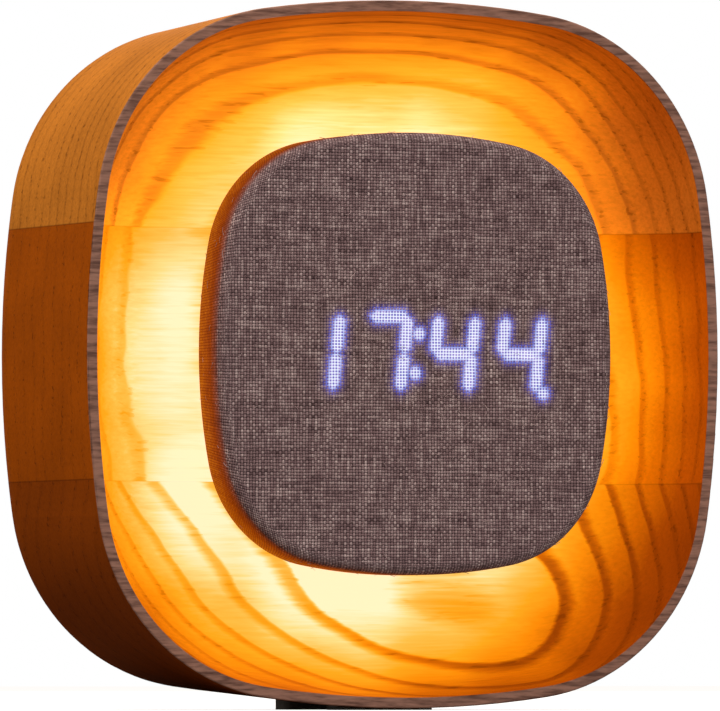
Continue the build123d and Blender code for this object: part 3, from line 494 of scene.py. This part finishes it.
def circuit_board(name):
    """FR4 board under green solder mask: copper tracks show as paler, raised lines."""
    material, tree = new_material(name)
    flat = add(tree, "ShaderNodeMapping", place_in_mm(tree), Scale=(1, 0, 1))
    cells = add(tree, "ShaderNodeTexVoronoi", flat, Scale=0.35, distance="CHEBYCHEV")
    cells = add(tree, "ShaderNodeMath", cells, 4.0, operation="MULTIPLY")
    cells = add(tree, "ShaderNodeMath", cells, operation="FRACT")
    tracks = add(tree, "ShaderNodeMapRange", cells, 0.42, 0.5, **SOFT)
    mask, raised = linear("#0b4a2a"), linear("#186b3e")
    shader = add(
        tree, "ShaderNodeBsdfPrincipled", Roughness=0.35, IOR=1.55,
        Base_Color=add(tree, "ShaderNodeMix", tracks, mask, raised, data_type="RGBA"),
        Normal=add(tree, "ShaderNodeBump", Strength=0.5, Distance=0.04 * MM, Height=tracks),
    )
    add(tree, "ShaderNodeOutputMaterial", shader)
    return material


def opal_lens(name, colour, strength):
    """Opal polycarbonate or LED phosphor that glows evenly."""
    material, tree = new_material(name)
    haze = add(tree, "ShaderNodeTexNoise", place_in_mm(tree), Scale=0.5, Detail=2.0)
    glow = add(tree, "ShaderNodeMix", haze, colour, shaded(colour, 1.15), data_type="RGBA")
    shader = add(tree, "ShaderNodeBsdfPrincipled", Base_Color=glow, Roughness=0.4, IOR=1.58,
                 Emission_Color=glow, Emission_Strength=strength)
    add(tree, "ShaderNodeOutputMaterial", shader)
    return material


def cell_wrap(name):
    """Printed shrink sleeve of a dry cell: dark body, copper coloured band, steel ends."""
    material, tree = new_material(name)
    place = place_in_mm(tree)
    side = add(tree, "ShaderNodeMath", add(tree, "ShaderNodeSeparateXYZ", place), operation="ABSOLUTE")
    from_end = add(tree, "ShaderNodeMath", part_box("battery_cells")[1].x / MM, side,
                   operation="SUBTRACT")
    band = add(tree, "ShaderNodeMapRange", from_end, 12.4, 12.6, 1.0, 0.0, **SOFT)
    steel = add(tree, "ShaderNodeMapRange", from_end, 1.9, 2.1, 1.0, 0.0, **SOFT)
    scuff = add(tree, "ShaderNodeTexNoise", place, Scale=1.2, Detail=3.0)
    sleeve = add(tree, "ShaderNodeMix", band, linear("#1d2b33"), linear("#a8703a"), data_type="RGBA")
    colour = add(tree, "ShaderNodeMix", steel, sleeve, linear("#c9c9c6"), data_type="RGBA")
    shader = add(
        tree, "ShaderNodeBsdfPrincipled", Base_Color=colour, Metallic=steel,
        Roughness=add(tree, "ShaderNodeMath", scuff, 0.2, 0.18, operation="MULTIPLY_ADD"),
    )
    add(tree, "ShaderNodeOutputMaterial", shader)
    return material


def smoked_film(name, hex_colour):
    """Smoked polyester film over the display: glossy, with a faint haze."""
    material, tree = new_material(name)
    haze = add(tree, "ShaderNodeTexNoise", place_in_mm(tree), Scale=0.4, Detail=1.0)
    shader = add(
        tree, "ShaderNodeBsdfPrincipled", Base_Color=linear(hex_colour), IOR=1.6,
        Roughness=add(tree, "ShaderNodeMath", haze, 0.08, 0.12, operation="MULTIPLY_ADD"),
    )
    add(tree, "ShaderNodeOutputMaterial", shader)
    return material


# ---- Linen mesh --------------------------------------------------------------------------------

DRUM_SIDE_RADIUS = 108 * MM
DRUM_CORNER_RADIUS = 23.7 * MM
DRUM_EDGE_RADIUS = 1.8 * MM
HEM_WIDTH = 5 * MM


def drum_outline(count):
    """Points and outward normals, evenly spaced round the drum's eight tangent arcs."""
    half_x = (drum_high.x - drum_low.x) / 2
    half_z = (drum_high.z - drum_low.z) / 2
    side, corner = DRUM_SIDE_RADIUS, DRUM_CORNER_RADIUS
    side_x, top_z = half_x - side, half_z - side
    span = hypot(side_x, top_z)
    rise = sqrt((side - corner) ** 2 - (span / 2) ** 2)
    corner_x = side_x / 2 - top_z * rise / span
    corner_z = top_z / 2 - side_x * rise / span
    low = atan2(corner_z, corner_x - side_x)
    high = atan2(corner_z - top_z, corner_x)
    arcs = []
    for turn, way_x, way_z in ((0, 1, 1), (1, -1, 1), (2, -1, -1), (3, 1, -1)):
        quarter = [((side_x, 0), side, 0, low), ((corner_x, corner_z), corner, low, high),
                   ((0, top_z), side, high, pi / 2)]
        if turn % 2:
            quarter = [(centre, radius, end, start) for centre, radius, start, end in quarter[::-1]]
        arcs += [(centre, radius, start, end, way_x, way_z) for centre, radius, start, end in quarter]
    lengths = [radius * abs(end - start) for _, radius, start, end, _, _ in arcs]
    step = sum(lengths) / count
    points, normals = [], []
    for k in range(count):
        travel = k * step
        for (centre, radius, start, end, way_x, way_z), length in zip(arcs, lengths):
            if travel <= length or (centre, way_x, way_z) == (arcs[-1][0], *arcs[-1][4:]):
                angle = start + (end - start) * travel / length
                normal = (cos(angle) * way_x, sin(angle) * way_z)
                points.append((centre[0] * way_x + radius * normal[0],
                               centre[1] * way_z + radius * normal[1]))
                normals.append(normal)
                break
            travel -= length
    return np.array(points), np.array(normals)


def nearest_lit(places):
    """Distance in the display's plane from each place to the nearest lit segment or dot."""
    vertices, faces = [], []
    for name in ("lit_segments", "display_dots"):
        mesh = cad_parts[name].data
        start = len(vertices)
        vertices += [vertex.co.copy() for vertex in mesh.vertices]
        faces += [[start + k for k in face.vertices] for face in mesh.polygons]
    front = min(vertex.y for vertex in vertices)
    tree = BVHTree.FromPolygons(vertices, faces)
    return np.array([tree.find_nearest(Vector((x, front, z)))[3] for x, z in places])


def linen_mesh(lights):
    """The cloth over the drum: its face, the rolled edge, the side and the hem behind."""
    around, across = 320, 84
    outline, normals = drum_outline(around)
    edge, depth = DRUM_EDGE_RADIUS, drum_high.y - drum_low.y
    rows = []  # (scale of the face ring, outward step, depth, cloth travel past the edge)
    for k in range(1, across + 1):
        rows.append((k / across, -edge, 0.0, 0.0))
    for k in range(1, 7):
        turn = k * pi / 12
        rows.append((1.0, -edge + edge * sin(turn), edge * (1 - cos(turn)), edge * turn))
    for k in range(1, 9):
        travel = k * (depth - edge) / 8
        rows.append((1.0, 0.0, edge + travel, edge * pi / 2 + travel))
    for k in range(1, 5):
        travel = k * HEM_WIDTH / 4
        rows.append((1.0, -travel, depth, edge * pi / 2 + depth - edge + travel))
    vertices = [(0.0, drum_low.y, CENTRE_Z)]
    cloth_places = [(0.0, 0.0)]
    side_depths = [0.0]
    for scale, outward, back, travel in rows:
        ring = outline * scale + normals * outward * scale
        for (x, z), (nx, nz) in zip(ring, normals):
            vertices.append((x, drum_low.y + back, CENTRE_Z + z))
            cloth_places.append((x + nx * travel, z + nz * travel))
            side_depths.append(back / depth)
    faces = [(0, 1 + (k + 1) % around, 1 + k) for k in range(around)]
    for row in range(len(rows) - 1):
        start = 1 + row * around
        for k in range(around):
            after = (k + 1) % around
            faces.append((start + k, start + after, start + around + after, start + around + k))
    mesh = bpy.data.meshes.new("linen_cloth")
    mesh.from_pydata(vertices, [], faces)
    uv = mesh.uv_layers.new(name="cloth")
    corner_vertex = np.zeros(len(mesh.loops), int)
    mesh.loops.foreach_get("vertex_index", corner_vertex)
    uv.data.foreach_set("uv", np.array(cloth_places)[corner_vertex].ravel())

    places = np.array([(x, z) for x, y, z in vertices])
    on_face = np.array([y < drum_low.y + 0.1 * MM for x, y, z in vertices])
    near_display = on_face & (np.abs(places[:, 0]) < 34 * MM) & (np.abs(places[:, 1] - CENTRE_Z) < 14 * MM)
    # Painted glow of the digits on the cloth, from each place's distance to the nearest lit segment or
    # dot.
    glow = np.zeros(len(vertices))
    distance = nearest_lit(places[near_display])
    core = np.clip(1.0 - distance / (0.5 * lights.spread), 0, 1)
    halo = np.exp(-((distance / lights.spread) ** 2))
    glow[near_display] = lights.digit_glow * (0.50 * core + 0.46 * halo)
    mesh.attributes.new("digit_glow", "FLOAT", "POINT").data.foreach_set("value", glow)
    # Painted light: how strongly the back light's amber glow is painted on the drum's side, growing
    # towards the back.
    warm = np.clip((np.array(side_depths) - 0.12) / 0.88, 0, 1) ** 0.45 * lights.bowl_glow
    mesh.attributes.new("warm_glow", "FLOAT", "POINT").data.foreach_set("value", warm)
    mesh.polygons.foreach_set("use_smooth", [True] * len(mesh.polygons))
    mesh.validate()
    return mesh


def outward(mesh):
    """Turns the mesh's faces outwards."""
    work = bmesh.new()
    work.from_mesh(mesh)
    bmesh.ops.recalc_face_normals(work, faces=work.faces)
    work.to_mesh(mesh)
    work.free()


def link(mesh, name):
    """An object for a finished mesh, at the origin."""
    piece = bpy.data.objects.new(name, mesh)
    bpy.context.scene.collection.objects.link(piece)
    return piece


def stray_fibres():
    """Curved hairs over a cloth, each with its own turn and size from a fixed seed."""
    tree = bpy.data.node_groups.new("stray_fibres", "GeometryNodeTree")
    sockets = {"Cloth": "Geometry", "Density": "Float", "Length": "Float", "Width": "Float",
               "Seed": "Int", "Material": "Material"}
    for name, kind in sockets.items():
        tree.interface.new_socket(name, in_out="INPUT", socket_type=f"NodeSocket{kind}")
    tree.interface.new_socket("Fibres", in_out="OUTPUT", socket_type="NodeSocketGeometry")
    cloth, density, length, width, seed, flax, _ = add(tree, "NodeGroupInput").node.outputs
    points, _, upright = add(tree, "GeometryNodeDistributePointsOnFaces", Mesh=cloth,
                             Density=density, Seed=seed).node.outputs
    bend = add(tree, "ShaderNodeVectorMath", (0.5, 0.3, 0.16), operation="SCALE", Scale=length)
    tip = add(tree, "ShaderNodeVectorMath", (1.0, 0.0, 0.22), operation="SCALE", Scale=length)
    hair = add(tree, "GeometryNodeCurveQuadraticBezier", Resolution=4, Start=(0, 0, 0),
               Middle=bend, End=tip)
    round_section = add(tree, "GeometryNodeCurvePrimitiveCircle", Resolution=3, Radius=width)
    hair = add(tree, "GeometryNodeCurveToMesh", Curve=hair, Profile_Curve=round_section,
               Fill_Caps=True)
    spin = add(tree, "FunctionNodeRandomValue", data_type="FLOAT", Min=0.0, Max=2 * pi, Seed=seed)
    spin = add(tree, "FunctionNodeAxisAngleToRotation", Axis=(0, 0, 1), Angle=spin)
    turned = add(tree, "FunctionNodeRotateRotation", upright, spin, rotation_space="LOCAL")
    size = add(tree, "FunctionNodeRandomValue", data_type="FLOAT", Min=0.4, Max=1.5, Seed=3)
    hairs = add(tree, "GeometryNodeInstanceOnPoints", Points=points, Instance=hair,
                Rotation=turned, Scale=size)
    solid = add(tree, "GeometryNodeRealizeInstances", hairs)
    done = add(tree, "GeometryNodeSetMaterial", Geometry=solid, Material=flax)
    add(tree, "NodeGroupOutput", done)
    return tree


# ---- Operators ---------------------------------------------------------------------------------


class ClockBoards(bpy.types.Operator):
    """Finish the three glued boards of the bowl"""

    bl_idname = "clock.boards"
    bl_label = "Wooden Boards"

    def execute(self, context):
        wood, lights = context.scene.clock_wood, context.scene.clock_light
        # Name, colour, ring spacing in mm, (lean along X and Z, twist, bow), start and wander of the
        # growth layers in mm, and the strength of their lines at the left and right ends.
        boards = {
            "upper_board": ("Oak, flat sawn and oiled", wood.upper, 3.8,
                            (0.02, -0.15, 0.0, -0.002), 0, 3, (0.9, 0.9)),
            "middle_board": ("Oak, rift sawn and oiled", wood.middle, 5.0,
                             (-0.04, 0.015, 0.0, -0.003), 130, 9, (0.4, 0.8)),
            "lower_board": ("Oak, dark heart and oiled", wood.lower, 6.6,
                            (-0.3, 0.12, -0.012, -0.007), 260, 6, (0.5, 1.3)),
        }
        for node, (name, early, spacing, layers, start, wander, heart) in boards.items():
            dress([node], oiled_board(name, list(early), list(wood.late), spacing, layers, start,
                                      wander, heart, wood, lights))
        return {"FINISHED"}


class ClockLinen(bpy.types.Operator):
    """Stretch the linen over the drum, with the digits' glow painted on it"""

    bl_idname = "clock.linen"
    bl_label = "Linen Cover"

    def execute(self, context):
        settings = context.scene.clock_linen
        mesh = linen_mesh(context.scene.clock_light)
        outward(mesh)
        mesh.materials.append(woven_linen(settings))
        piece = link(mesh, "linen_cloth")
        solid = piece.modifiers.new("thickness", "SOLIDIFY")
        solid.thickness = settings.thickness
        solid.offset = -1
        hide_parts("linen_cover")
        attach(piece, BODY)
        return {"FINISHED"}


class ClockFibres(bpy.types.Operator):
    """Scatter loose flax ends over the linen"""

    bl_idname = "clock.fibres"
    bl_label = "Stray Fibres"

    def execute(self, context):
        settings = context.scene.clock_linen
        cloth = bpy.data.objects["linen_cloth"].data
        area = sum(face.area for face in cloth.polygons)
        holder = link(cloth, "fibre_holder")
        scatter = holder.modifiers.new("fibres", "NODES")
        scatter.node_group = stray_fibres()
        values = {
            "Density": settings.fibres / area, "Length": settings.fibre_length,
            "Width": settings.fibre_width, "Seed": 7, "Material": flax_fibre(settings),
        }
        for socket in scatter.node_group.interface.items_tree:
            if socket.name in values:
                scatter[socket.identifier] = values[socket.name]
        evaluated = holder.evaluated_get(context.evaluated_depsgraph_get())
        mesh = bpy.data.meshes.new_from_object(evaluated)
        bpy.data.objects.remove(holder)
        outward(mesh)
        piece = link(mesh, "stray_fibres")
        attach(piece, BODY)
        return {"FINISHED"}


class ClockDrum(bpy.types.Operator):
    """Finish the drum's casing, display and back light"""

    bl_idname = "clock.drum"
    bl_label = "Drum and Display"

    def execute(self, context):
        warm = list(context.scene.clock_light.warm)
        dress(["pod_front_shell", "pod_back_plate", "pod_stem"],
              moulded_plastic("ABS, moulded black", "#1b1a1c"))
        dress(["display_module"], moulded_plastic("Polycarbonate, moulded grey", "#2c2c30", 0.4))
        dress(["display_window"], smoked_film("Polyester film, smoked", "#3a3638"))
        dress(["lit_segments", "display_dots"],
              opal_lens("Epoxy lens, lit white LED", linear("#e6ecff"), 2.0))
        dress(["unlit_segments"], moulded_plastic("Epoxy lens, unlit", "#77777a", 0.3))
        dress(["light_leds"], opal_lens("Phosphor LED, warm white", warm, 6.0))
        dress(["light_diffuser"], opal_lens("Polycarbonate, opal", warm, 2.2))
        return {"FINISHED"}


class ClockElectronics(bpy.types.Operator):
    """Finish the boards, chips, cells and wiring inside"""

    bl_idname = "clock.electronics"
    bl_label = "Electronics"

    def execute(self, context):
        dress(["main_board", "control_board", "display_board", "light_ring_board"],
              circuit_board("FR4 board, green solder mask"))
        dress(["main_chip", "board_header", "buzzer", "tact_switches"],
              moulded_plastic("Epoxy, moulded black", "#141414", 0.45))
        dress(["ribbon_sockets", "ribbon_cable"], moulded_plastic("Nylon, moulded natural", "#ddd8c8"))
        dress(["capacitors"], plated_metal("Aluminium can, drawn", "#c6c8ca", 0.3))
        dress(["battery_cells"], cell_wrap("Dry cell sleeve, printed"))
        dress(["battery_springs", "battery_contacts", "usb_socket", "slide_switch_body"],
              plated_metal("Steel, nickel plated", "#c9c7c0", 0.25))
        dress(["board_standoffs", "threaded_inserts"], plated_metal("Brass, turned", "#c79a4e", 0.3))
        dress(["stem_screws", "pod_screws", "drum_mount_screws", "board_screws", "control_screws"],
              plated_metal("Steel, zinc plated", "#b9bcbf", 0.3))
        return {"FINISHED"}


class ClockRear(bpy.types.Operator):
    """Finish the rear cover, controls and base pads"""

    bl_idname = "clock.rear"
    bl_label = "Rear Cover and Controls"

    def execute(self, context):
        controls = ("set", "down", "up", "alarm", "light")
        dress(["rear_cover", "battery_door"], moulded_plastic("ABS, spark textured", "#302f31", 0.55))
        dress([f"button_{name}" for name in controls], silicone("Silicone, cast grey", "#8a8885"))
        dress([f"plunger_{name}" for name in controls], moulded_plastic("Nylon, white", "#e4e2dc"))
        dress(["slide_switch_knob"], moulded_plastic("Acetal, black", "#101010", 0.4))
        dress(["cover_screws"], plated_metal("Steel, black oxide", "#3b3b3d", 0.35))
        dress(["base_pads"], silicone("Silicone, cast natural", "#b4b0a8", 0.7))
        return {"FINISHED"}


class ClockStage(bpy.types.Operator):
    """Set the floor, the lights and the camera"""

    bl_idname = "clock.stage"
    bl_label = "Stage"

    def execute(self, context):
        scene = context.scene
        stage_floor()
        studio_light("key_light", (-0.62, -0.25, 1.15), 0.6, 13.5, (1.0, 0.94, 0.86))
        studio_light("fill_light", (0.35, -1.3, 0.35), 0.8, 9.0, (0.96, 0.97, 1.0))
        studio_light("back_light", (0.9, 1.3, 0.9), 0.8, 9.0, (1.0, 0.98, 0.95))
        studio_world(scene)
        aim_camera(scene, scene.clock_stage)
        scene.view_settings.view_transform = "Standard"
        return {"FINISHED"}


def stage_floor():
    """A plain pale floor, level with the undersides of the pads."""
    half = 3.0
    corners = [(-half, -half, 0), (half, -half, 0), (half, half, 0), (-half, half, 0)]
    mesh = bpy.data.meshes.new("floor")
    mesh.from_pydata(corners, [], [(0, 1, 2, 3)])
    material, tree = new_material("Painted board, matt white")
    mottle = add(tree, "ShaderNodeTexNoise", place_in_mm(tree), Scale=0.02, Detail=2.0)
    paint = add(tree, "ShaderNodeMix", mottle, linear("#a8a6a4"), linear("#b0aeac"), data_type="RGBA")
    # The camera sees white board. The clock sees a dim one, as over a large room's floor.
    seen = add(tree, "ShaderNodeLightPath")
    paint = add(tree, "ShaderNodeMix", seen, linear("#6a5f55"), paint, data_type="RGBA")
    glow = add(tree, "ShaderNodeMath", seen, 0.8, operation="MULTIPLY")
    shader = add(tree, "ShaderNodeBsdfPrincipled", Base_Color=paint, Roughness=0.9,
                 Specular_IOR_Level=0.0, Emission_Color=linear("#fffdfb"), Emission_Strength=glow)
    add(tree, "ShaderNodeOutputMaterial", shader)
    mesh.materials.append(material)
    link(mesh, "floor")


def studio_light(name, place, size, power, colour):
    """A soft square light that faces the clock."""
    light = bpy.data.lights.new(name, "AREA")
    light.size = size
    light.energy = power
    light.color = colour
    lamp = bpy.data.objects.new(name, light)
    lamp.location = place
    lamp.rotation_euler = (Vector((0, 0, CENTRE_Z)) - Vector(place)).to_track_quat("-Z", "Y").to_euler()
    bpy.context.scene.collection.objects.link(lamp)


def studio_world(scene):
    """A pale studio: near white to the eye, and a softer, dimmer light on the clock."""
    world = bpy.data.worlds.new("studio")
    world.use_nodes = True
    tree = world.node_tree
    tree.nodes.clear()
    seen = add(tree, "ShaderNodeBackground", linear("#ffffff"), 1.0)
    upward = add(tree, "ShaderNodeSeparateXYZ", add(tree, "ShaderNodeTexCoord")).node.outputs[2]
    strength = add(tree, "ShaderNodeMapRange", upward, -0.3, 0.9, 0.10, 0.55, **SOFT)
    lit = add(tree, "ShaderNodeBackground", linear("#fff6ee"), strength)
    to_camera = add(tree, "ShaderNodeLightPath")
    add(tree, "ShaderNodeOutputWorld", add(tree, "ShaderNodeMixShader", to_camera, lit, seen))
    scene.world = world


def aim_camera(scene, settings):
    """The camera looks along the azimuth and elevation, past the middle of the rim's plane."""
    turn, tip = settings.azimuth, settings.elevation
    back = Vector((sin(turn) * cos(tip), -cos(turn) * cos(tip), sin(tip)))
    right = Vector((cos(turn), sin(turn), 0))
    up = right.cross(-back)
    camera = bpy.data.cameras.new("camera")
    camera.lens = settings.lens
    camera.sensor_width = 36
    camera.clip_end = 20
    eye = bpy.data.objects.new("camera", camera)
    aim = Vector((0, RIM_Y, CENTRE_Z)) - right * settings.aside - up * settings.below
    eye.location = aim + back * settings.distance
    eye.rotation_euler = (-back).to_track_quat("-Z", "Y").to_euler()
    scene.collection.objects.link(eye)
    scene.camera = eye


class ClockPanel(bpy.types.Panel):
    """Steps and settings of the clock"""

    bl_idname = "VIEW3D_PT_clock"
    bl_label = "Wooden Bowl Clock"
    bl_space_type = "VIEW_3D"
    bl_region_type = "UI"
    bl_category = "Clock"

    def draw(self, context):
        for group in ("clock_wood", "clock_linen", "clock_light", "clock_stage"):
            settings = getattr(context.scene, group)
            for key in settings.__annotations__:
                self.layout.prop(settings, key)
        for step in STEPS:
            self.layout.operator(step.bl_idname)


SETTINGS = {
    "clock_wood": ClockWoodSettings,
    "clock_linen": ClockLinenSettings,
    "clock_light": ClockLightSettings,
    "clock_stage": ClockStageSettings,
}
STEPS = (ClockBoards, ClockLinen, ClockFibres, ClockDrum, ClockElectronics, ClockRear, ClockStage)


def register():
    for kind in (*SETTINGS.values(), *STEPS, ClockPanel):
        bpy.utils.register_class(kind)
    for name, kind in SETTINGS.items():
        setattr(bpy.types.Scene, name, PointerProperty(type=kind))


def unregister():
    for name in SETTINGS:
        delattr(bpy.types.Scene, name)
    for kind in (ClockPanel, *reversed(STEPS), *SETTINGS.values()):
        bpy.utils.unregister_class(kind)


def main():
    register()
    bpy.ops.clock.stage()
    bpy.ops.clock.boards()
    bpy.ops.clock.linen()
    bpy.ops.clock.fibres()
    bpy.ops.clock.drum()
    bpy.ops.clock.electronics()
    bpy.ops.clock.rear()


if __name__ == "__main__":
    main()
